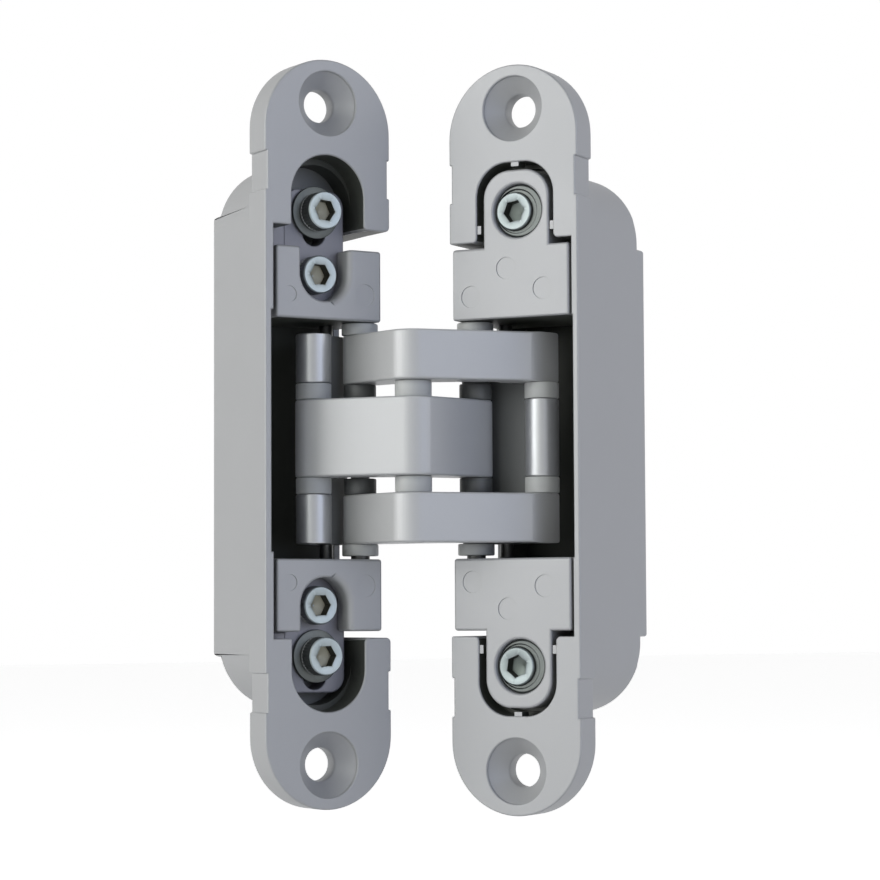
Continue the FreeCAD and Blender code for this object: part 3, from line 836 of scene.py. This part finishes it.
def makeCam(end):
    # An eccentric bush: its bore and recess stand aside from its outside by the throw.
    s = cam
    shift = -s["throw"]
    face, back = s["face"], s["face"] + s["length"]
    deep = face + s["recessDepth"]
    path = [
        (face, s["lip"], shift * s["lipShare"]), (face, s["radius"] - s["chamfer"][1]),
        (face + s["chamfer"][0], s["radius"]), (back, s["radius"]), (back, s["bore"], shift),
        (deep, s["bore"], shift), (deep, s["recess"], shift), (face + s["ledge"], s["recess"], shift)]
    path += [(face + depth, radius, shift * share) for depth, radius, share in s["rings"]]
    return turned(path, (s["x"], end * s["height"]), "y", 96, closed=True)


fit([makeCam(end) for end in (1, -1)],
    "rightCamBushes", "right_cam_bushes", "right_side", rightPlace, darkZincAndShade)
screwPair(cam, cam["x"] - cam["throw"], cam["height"], cam["headFace"], rightPlace,
          "rightAdjustingScrews", "right_adjusting_screws", "right_side",
          (shadedZinc, socketShadeSteel, shadedFloor, headSide), knurled=False)
print("right adjusters made")

# Arms

arms = {
    "hub": 4.8, "leftEnd": 3.3, "foot": 3.0, "forkFoot": 3.05, "forkEnd": 3.2, "elbow": 3.0,
    "elbowAlong": 17.1, "elbowForward": 0.35, "edge": 0.45, "pin": 1.7, "centrePin": 1.9, "play": 0.05,
    "centreScoop": (13.3, 3.33), "forkScoop": (13.9, 2.83), "nearScoop": (6.0, 5.6),
    "scoopRadius": 2.0, "forkScoopRadius": 2.8, "noseRadius": 9.5, "noseStart": 19.6,
}


def beside(start, finish, along, behind):
    # A point so far along the line and so far behind it.
    length = math.hypot(finish[0] - start[0], finish[1] - start[1])
    dx = (finish[0] - start[0]) / length
    dy = (finish[1] - start[1]) / length
    sign = 1 if dx > 0 else -1
    return start[0] + along * dx - sign * behind * dy, start[1] + along * dy + sign * behind * dx


def leg(one, r1, two, r2, low, high):
    return prism(belt(*one, r1, *two, r2), low, high)


def scoop(end, farPlace, radius, low, high):
    # The hollow behind an arm's long leg.
    far = beside(pivots["centre"], pivots[end], *farPlace)
    close = beside(pivots["centre"], pivots[end], *arms["nearScoop"])
    return leg(far, radius, close, radius + 0.001, low - past, high + past)


def bore(pivot, radius, low, high):
    return rod(pivots[pivot], low - past, high + past, radius, steps=48)


def makeCentreArm():
    s = arms
    low, high = -levels["arm"], levels["arm"]
    body = leg(pivots["leftEnd"], s["leftEnd"], pivots["centre"], s["hub"], low, high)
    fuse(body, leg(pivots["centre"], s["hub"], pivots["right"], s["foot"], low, high))
    roundOff(body, s["edge"], lambda m, d: abs(abs(m.z) - high) < 0.01)
    return cut(
        body, scoop("leftEnd", s["centreScoop"], s["scoopRadius"], low, high),
        bore("leftEnd", s["pin"] + s["play"], low, high),
        bore("centre", s["centrePin"] + s["play"], low, high),
        bore("right", s["pin"] + s["play"], low, high))


def noseTool(low, high):
    # Takes the front of the far end away outside a wide radius.
    s = arms
    outline = []
    behind = s["noseRadius"] - s["elbow"] - s["elbowForward"]
    inner = [(s["noseRadius"], degrees) for degrees in range(0, 73, 3)]
    outer = [(s["noseRadius"] + 6, degrees) for degrees in (72, 36, 0)]
    for radius, degrees in inner + outer:
        along = s["noseStart"] + radius * math.sin(math.radians(degrees))
        ahead = radius * math.cos(math.radians(degrees)) - behind
        outline.append(beside(pivots["centre"], pivots["rightEnd"], along, -ahead))
    return prism(outline, low, high)


def makeForkArm(end):
    s = arms
    low, high = span(end, levels["fork"], levels["forkTop"])
    elbow = beside(pivots["centre"], pivots["rightEnd"], s["elbowAlong"], -s["elbowForward"])
    body = leg(pivots["left"], s["forkFoot"], pivots["centre"], s["hub"], low, high)
    fuse(body, leg(pivots["centre"], s["hub"], elbow, s["elbow"], low, high),
         leg(elbow, s["elbow"], pivots["rightEnd"], s["forkEnd"], low, high))
    roundOff(body, s["edge"], lambda m, d: min(abs(m.z - low), abs(m.z - high)) < 0.01)
    return cut(
        body, noseTool(low - past, high + past),
        scoop("rightEnd", s["forkScoop"], s["forkScoopRadius"], low, high),
        bore("left", s["pin"] + s["play"], low, high),
        bore("centre", s["centrePin"], low, high), bore("rightEnd", s["pin"], low, high))


fit(makeCentreArm(), "centreArmCasting", "centre_arm", "centre_arm", stackPlace, litArmSilver, flat=True)
fit(makeForkArm(1), "upperForkArm", "fork_arm_upper", "fork", stackPlace, litArmSilver, flat=True)
fit(makeForkArm(-1), "lowerForkArm", "fork_arm_lower", "fork", stackPlace, litArmSilver, flat=True)
print("arms made")

# Links, pins and washers

links = {
    "knuckle": 3.2, "barrel": 3.1, "web": 2.6, "leftRear": 3.2, "rightRear": 3.1, "rearPin": 1.25,
    "leftPlay": 0.98, "rightPlay": 1.27, "webPlay": 2.1, "forkPlay": 0.6, "edge": 0.3,
}


def webPlate(front, rear, rearRadius):
    # The web widens until its faces run smoothly into the rear barrel.
    return prism(belt(*front, links["web"] / 2, *rear, rearRadius), -levels["forkTop"], levels["forkTop"])


def shadeLinkWeb(obj, front, radius, finish):
    # Everything but the front barrel takes the given darker finish: painted shade on the web.
    obj.data.materials.append(finish)
    for face in obj.data.polygons:
        x, y = face.center.x * 1000, face.center.y * 1000 + hinge["seat"]
        face.material_index = 1 if math.hypot(x - front[0], y - front[1]) > radius + 0.03 else 0


def makeLeftLink():
    s = links
    front, rear = pivots["leftEnd"], pivots["leftRear"]
    fork, top = levels["fork"], levels["forkTop"]
    gap = levels["washer"]
    room = rod(front, -gap, gap, arms["leftEnd"] + s["webPlay"])  # for the centre arm's end
    body = cut(webPlate(front, rear, s["leftRear"] - 0.02), room)
    fuse(body, softRod(front, fork, top, s["knuckle"], s["edge"]),
         softRod(front, -top, -fork, s["knuckle"], s["edge"]),
         softRod(rear, -top, top, s["leftRear"], s["edge"]))
    return cut(body, rod(front, -top - past, top + past, arms["pin"]),
               rod(rear, -top - past, top + past, s["rearPin"] + s["leftPlay"]))


def makeRightLink():
    s = links
    front, rear = pivots["rightEnd"], pivots["rightRear"]
    arm, top = levels["arm"], levels["forkTop"]
    reach = arms["forkEnd"] + s["webPlay"] + s["forkPlay"]  # room for the fork's ends
    gap = levels["washerTop"]
    body = cut(
        webPlate(front, rear, s["rightRear"] - 0.02), rod(front, gap, top + past, reach),
        rod(front, -top - past, -gap, reach))
    fuse(body, softRod(front, -arm, arm, s["barrel"], s["edge"]),
         softRod(rear, -top, top, s["rightRear"], s["edge"]))
    return cut(body, rod(front, -top - past, top + past, arms["pin"] + arms["play"]),
               rod(rear, -top - past, top + past, s["rearPin"] + s["rightPlay"]))


link = fit(
    makeLeftLink(), "leftLinkBarrels", "left_link", "left_link", stackPlace, barrelSteel, flat=True)
shadeLinkWeb(link, pivots["leftEnd"], links["knuckle"], halfShadeCasting)
link = fit(
    makeRightLink(), "rightLinkBarrel", "right_link", "right_link", stackPlace, barrelSteel, flat=True)
shadeLinkWeb(link, pivots["rightEnd"], links["barrel"], shadeGrey)
print("links made")

pins = {
    "edge": 0.3, "blockReach": 30.9, "rearReach": 27.9, "armReach": 18.6, "radius": 1.7,
    "centre": 1.9, "rear": 1.25,
}
for name, node, body, point, reach, radius in (
        ("leftPivotPin", "left_pivot_pin", "left_carrier", "left", "blockReach", "radius"),
        ("leftRearPin", "left_rear_pin", "left_carrier", "leftRearPin", "rearReach", "rear"),
        ("centrePin", "centre_pin", "fork", "centre", "armReach", "centre"),
        ("rightEndPin", "right_end_pin", "fork", "rightEnd", "armReach", "radius"),
        ("leftEndPin", "left_end_pin", "left_link", "leftEnd", "armReach", "radius"),
        ("rightPivotPin", "right_pivot_pin", "right_side", "right", "blockReach", "radius"),
        ("rightRearPin", "right_rear_pin", "right_side", "rightRearPin", "rearReach", "rear")):
    fit(softRod(pivots[point], -pins[reach], pins[reach], pins[radius], pins["edge"]),
        name, node, body, carrierPlace, shadedPinSteel)

washers = {
    "edge": 0.22, "wide": 3.3, "leftEnd": 3.2, "rightEnd": 3.1, "inner": 2.95, "sleeve": 2.5,
    "tight": 1.7, "loose": 1.75, "centreBore": 1.95,
}


def ringPair(point, low, high, radius, hole):
    return [
        softRing(pivots[point], *span(end, levels[low], levels[high]), radius, hole, washers["edge"])
        for end in (1, -1)]


greyPair = (washerGrey, shadeGrey)
for name, node, body, point, low, high, radius, hole, finish in (
        ("leftPivotWashers", "left_pivot_washers", "left_carrier", "left", "outer", "outerTop",
         "wide", "tight", greyPair),
        ("centreWashers", "centre_washers", "centre_arm", "centre", "washer", "washerTop",
         "wide", "centreBore", greyPair),
        ("leftEndWashers", "left_end_washers", "left_link", "leftEnd", "washer", "washerTop",
         "leftEnd", "tight", greyPair),
        ("rightEndWashers", "right_end_washers", "right_link", "rightEnd", "washer", "washerTop",
         "rightEnd", "loose", greyPair),
        ("rightPivotWashers", "right_pivot_washers", "right_side", "right", "outer", "outerTop",
         "wide", "tight", greyPair),
        # The right pivot's inner washers and sleeves take the shade grey: painted shade.
        ("rightInnerWashers", "right_inner_washers", "right_side", "right", "washer", "washerTop",
         "inner", "tight", shadeGrey),
        ("rightSleeves", "right_sleeves", "right_side", "right", "fork", "forkTop",
         "sleeve", "tight", shadeGrey)):
    rings = ringPair(point, low, high, washers[radius], washers[hole])
    if point == "left":  # this pivot's inner sleeves take the shade grey: painted shade
        sleeves = ringPair(point, "washer", "washerTop", washers["inner"], washers[hole])
        for sleeve in sleeves:
            for face in sleeve.data.polygons:
                face.material_index = 1
        rings += sleeves
    fit(rings, name, node, body, stackPlace, finish)
print("pins and washers made")

# Floor, light and camera

stage = {
    "floorHeight": -0.1, "floorSize": 3.0, "floorGlow": 0.86, "floorTone": (0.88, 0.88, 0.88, 1),
    "ambient": 0.015, "lampHeight": 0.26, "lampSize": 0.7, "aim": (0.015, -0.016, 0),
}
ground = bmesh.new()
reach = stage["floorSize"]
ground.faces.new([ground.verts.new((x, y, stage["floorHeight"])) for x, y in (
    (-reach, -reach), (reach, -reach), (reach, reach), (-reach, reach))])
floor = solid(ground, "paleFloor")


def seenDirectly(tree):
    # White where the camera, or what it sees in metal, looks at it; it lights nothing.
    path = tree.nodes.new("ShaderNodeLightPath")
    seen = compute(tree, "MAXIMUM", path.outputs["Is Camera Ray"], path.outputs["Is Glossy Ray"])
    return compute(tree, "MAXIMUM", seen, path.outputs["Is Transmission Ray"])


material, tree, shader = newMaterial("pale floor")
shader.inputs["Base Color"].default_value = stage["floorTone"]
shader.inputs["Roughness"].default_value = 0.9
shader.inputs["Emission Color"].default_value = (1, 1, 1, 1)
glow = compute(tree, "MULTIPLY", seenDirectly(tree), stage["floorGlow"])
tree.links.new(glow, shader.inputs["Emission Strength"])
floor.data.materials.append(material)

world = bpy.data.worlds.new("white studio")
bpy.context.scene.world = world
world.use_nodes = True
tree = world.node_tree
backdrop = tree.nodes["Background"]
backdrop.inputs["Color"].default_value = (1, 1, 1, 1)
glow = compute(tree, "MULTIPLY", seenDirectly(tree), 1.0 - stage["ambient"])
tree.links.new(compute(tree, "ADD", glow, stage["ambient"]), backdrop.inputs["Strength"])

camera = {
    "place": (-0.2493, -0.4379, -0.0321), "forward": (0.5337, 0.8434, 0.0612), "roll": -0.0048,
    "focal": 2801.7, "imageWidth": 880, "sensor": 36.0, "shiftX": -0.00302,
}
forward = Vector(camera["forward"]).normalized()
right = forward.cross(Vector((0, 0, 1))).normalized()
up = right.cross(forward)
rolledRight = (right + up * camera["roll"]).normalized()
rolledUp = rolledRight.cross(forward)
lens = bpy.data.cameras.new("productCamera")
lens.sensor_width = camera["sensor"]
lens.lens = camera["focal"] / camera["imageWidth"] * camera["sensor"]
lens.shift_x = camera["shiftX"]
view = bpy.data.objects.new("productCamera", lens)
bpy.context.scene.collection.objects.link(view)
view.matrix_world = Matrix((
    (rolledRight.x, rolledUp.x, -forward.x, camera["place"][0]),
    (rolledRight.y, rolledUp.y, -forward.y, camera["place"][1]),
    (rolledRight.z, rolledUp.z, -forward.z, camera["place"][2]),
    (0, 0, 0, 1)))
bpy.context.scene.camera = view


def softLamp(name, side, back, power, color):
    # side and back are distances from the hinge, to the camera's right and towards the camera.
    aim = Vector(stage["aim"])
    lamp = bpy.data.lights.new(name, "AREA")
    lamp.shape = "DISK"
    lamp.size = stage["lampSize"]
    lamp.energy = power
    lamp.color = color
    obj = bpy.data.objects.new(name, lamp)
    bpy.context.scene.collection.objects.link(obj)
    obj.location = aim + right * side - forward * back + Vector((0, 0, stage["lampHeight"]))
    obj.rotation_euler = (aim - obj.location).to_track_quat("-Z", "Y").to_euler()


softLamp("keyLamp", -0.875, 0.408, 4.6, (1.0, 1.0, 1.0))
softLamp("frontLamp", -0.62, 0.74, 1.9, (0.97, 1.0, 0.92))
softLamp("fillLamp", 0.683, 0.683, 1.75, (0.6, 0.7, 1.0))
softLamp("sideLamp", 0.951, 0.168, 2.0, (1.0, 1.0, 1.0))
bpy.context.scene.view_settings.view_transform = "Standard"
print("stage made")
